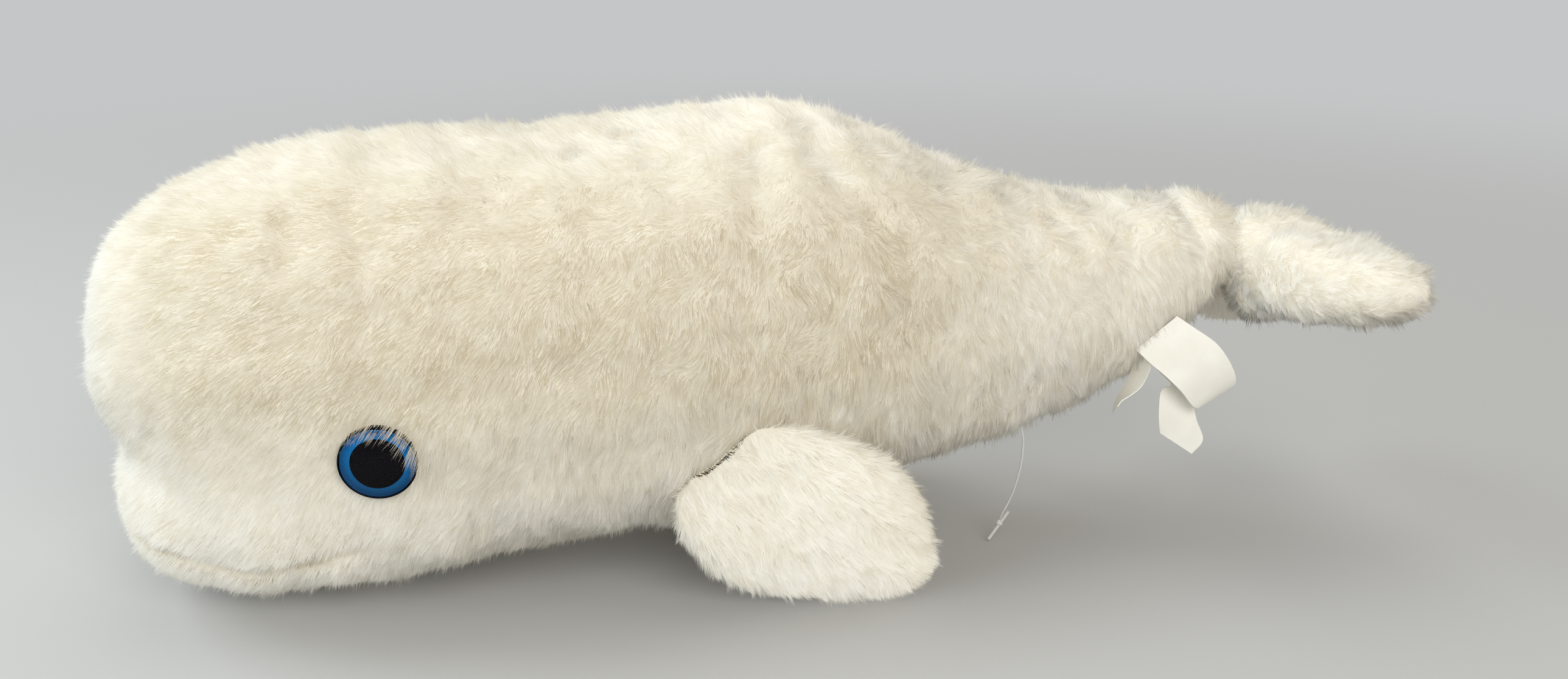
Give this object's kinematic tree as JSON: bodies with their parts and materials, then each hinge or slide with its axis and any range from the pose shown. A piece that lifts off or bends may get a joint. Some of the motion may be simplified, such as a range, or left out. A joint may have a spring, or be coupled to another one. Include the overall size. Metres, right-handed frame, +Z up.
{
  "type": "plush whale toy",
  "caption": "White plush whale lying on its belly, with blue safety eyes, stuffed flippers and tail flukes, blank sewn-in labels and a plastic tag pin.",
  "frame": {"origin": "on the floor, at the middle of the box round the whale", "axes": "+Z is up. The nose points along -X, and the whale's left side faces -Y."},
  "size_m": [0.3666, 0.1316, 0.1357],
  "materials": {
    "plush_pile": "short dense pile, warm white",
    "fill": "loose polyester fibre",
    "clear_plastic": "clear, polished",
    "blue_plastic": "painted blue",
    "black_plastic": "glossy black",
    "white_plastic": "plain, as moulded",
    "satin": "woven ribbon, off-white, blank",
    "nylon": "translucent nylon"
  },
  "bodies": {
    "body": {"left_side_panel": "plush_pile", "right_side_panel": "plush_pile", "belly_panel": "plush_pile", "tail_fin_root": "plush_pile", "head_fill": "fill", "torso_fill": "fill", "tail_fill": "fill", "left_eye_lens": "clear_plastic", "left_eye_iris": "blue_plastic", "left_eye_pupil": "black_plastic", "left_eye_back": "black_plastic", "left_eye_washer": "white_plastic", "right_eye_lens": "clear_plastic", "right_eye_iris": "blue_plastic", "right_eye_pupil": "black_plastic", "right_eye_back": "black_plastic", "right_eye_washer": "white_plastic", "tag_pin_filament": "nylon", "tag_pin_bar": "nylon", "tag_pin_anchor": "nylon"},
    "left_flipper": {"left_flipper_outer_panel": "plush_pile", "left_flipper_inner_panel": "plush_pile", "left_flipper_fill": "fill"},
    "right_flipper": {"right_flipper_outer_panel": "plush_pile", "right_flipper_inner_panel": "plush_pile", "right_flipper_fill": "fill"},
    "left_fluke": {"left_fluke_upper_panel": "plush_pile", "left_fluke_lower_panel": "plush_pile", "left_fluke_fill": "fill"},
    "right_fluke": {"right_fluke_upper_panel": "plush_pile", "right_fluke_lower_panel": "plush_pile", "right_fluke_fill": "fill"},
    "labels": {"front_label": "satin", "care_label": "satin", "rear_label": "satin"}
  },
  "joints": [
    {"name": "left_flipper_swing", "type": "hinge", "parent": "body", "child": "left_flipper", "pos_m": [-0.0336, -0.05309, 0.0383], "axis": [-0.7244, 0.1643, -0.6695], "range_deg": [0, 70], "stiffness_Nm_per_rad": 0.02},
    {"name": "right_flipper_swing", "type": "hinge", "parent": "body", "child": "right_flipper", "pos_m": [-0.0336, 0.05309, 0.0383], "axis": [0.7244, 0.1643, 0.6695], "range_deg": [0, 70], "stiffness_Nm_per_rad": 0.02},
    {"name": "left_fluke_flap", "type": "hinge", "parent": "body", "child": "left_fluke", "pos_m": [0.1503, -0.0065, 0.0845], "axis": [-1, 0, 0], "range_deg": [-25, 30], "stiffness_Nm_per_rad": 0.05},
    {"name": "right_fluke_flap", "type": "hinge", "parent": "body", "child": "right_fluke", "pos_m": [0.1503, 0.0065, 0.0845], "axis": [1, 0, 0], "range_deg": [-10, 45], "stiffness_Nm_per_rad": 0.05},
    {"name": "label_flap", "type": "hinge", "parent": "body", "child": "labels", "pos_m": [0.12007, -0.02578, 0.066], "axis": [-0.788, 0, -0.6157], "range_deg": [-10, 60], "stiffness_Nm_per_rad": 0.002}
  ]
}
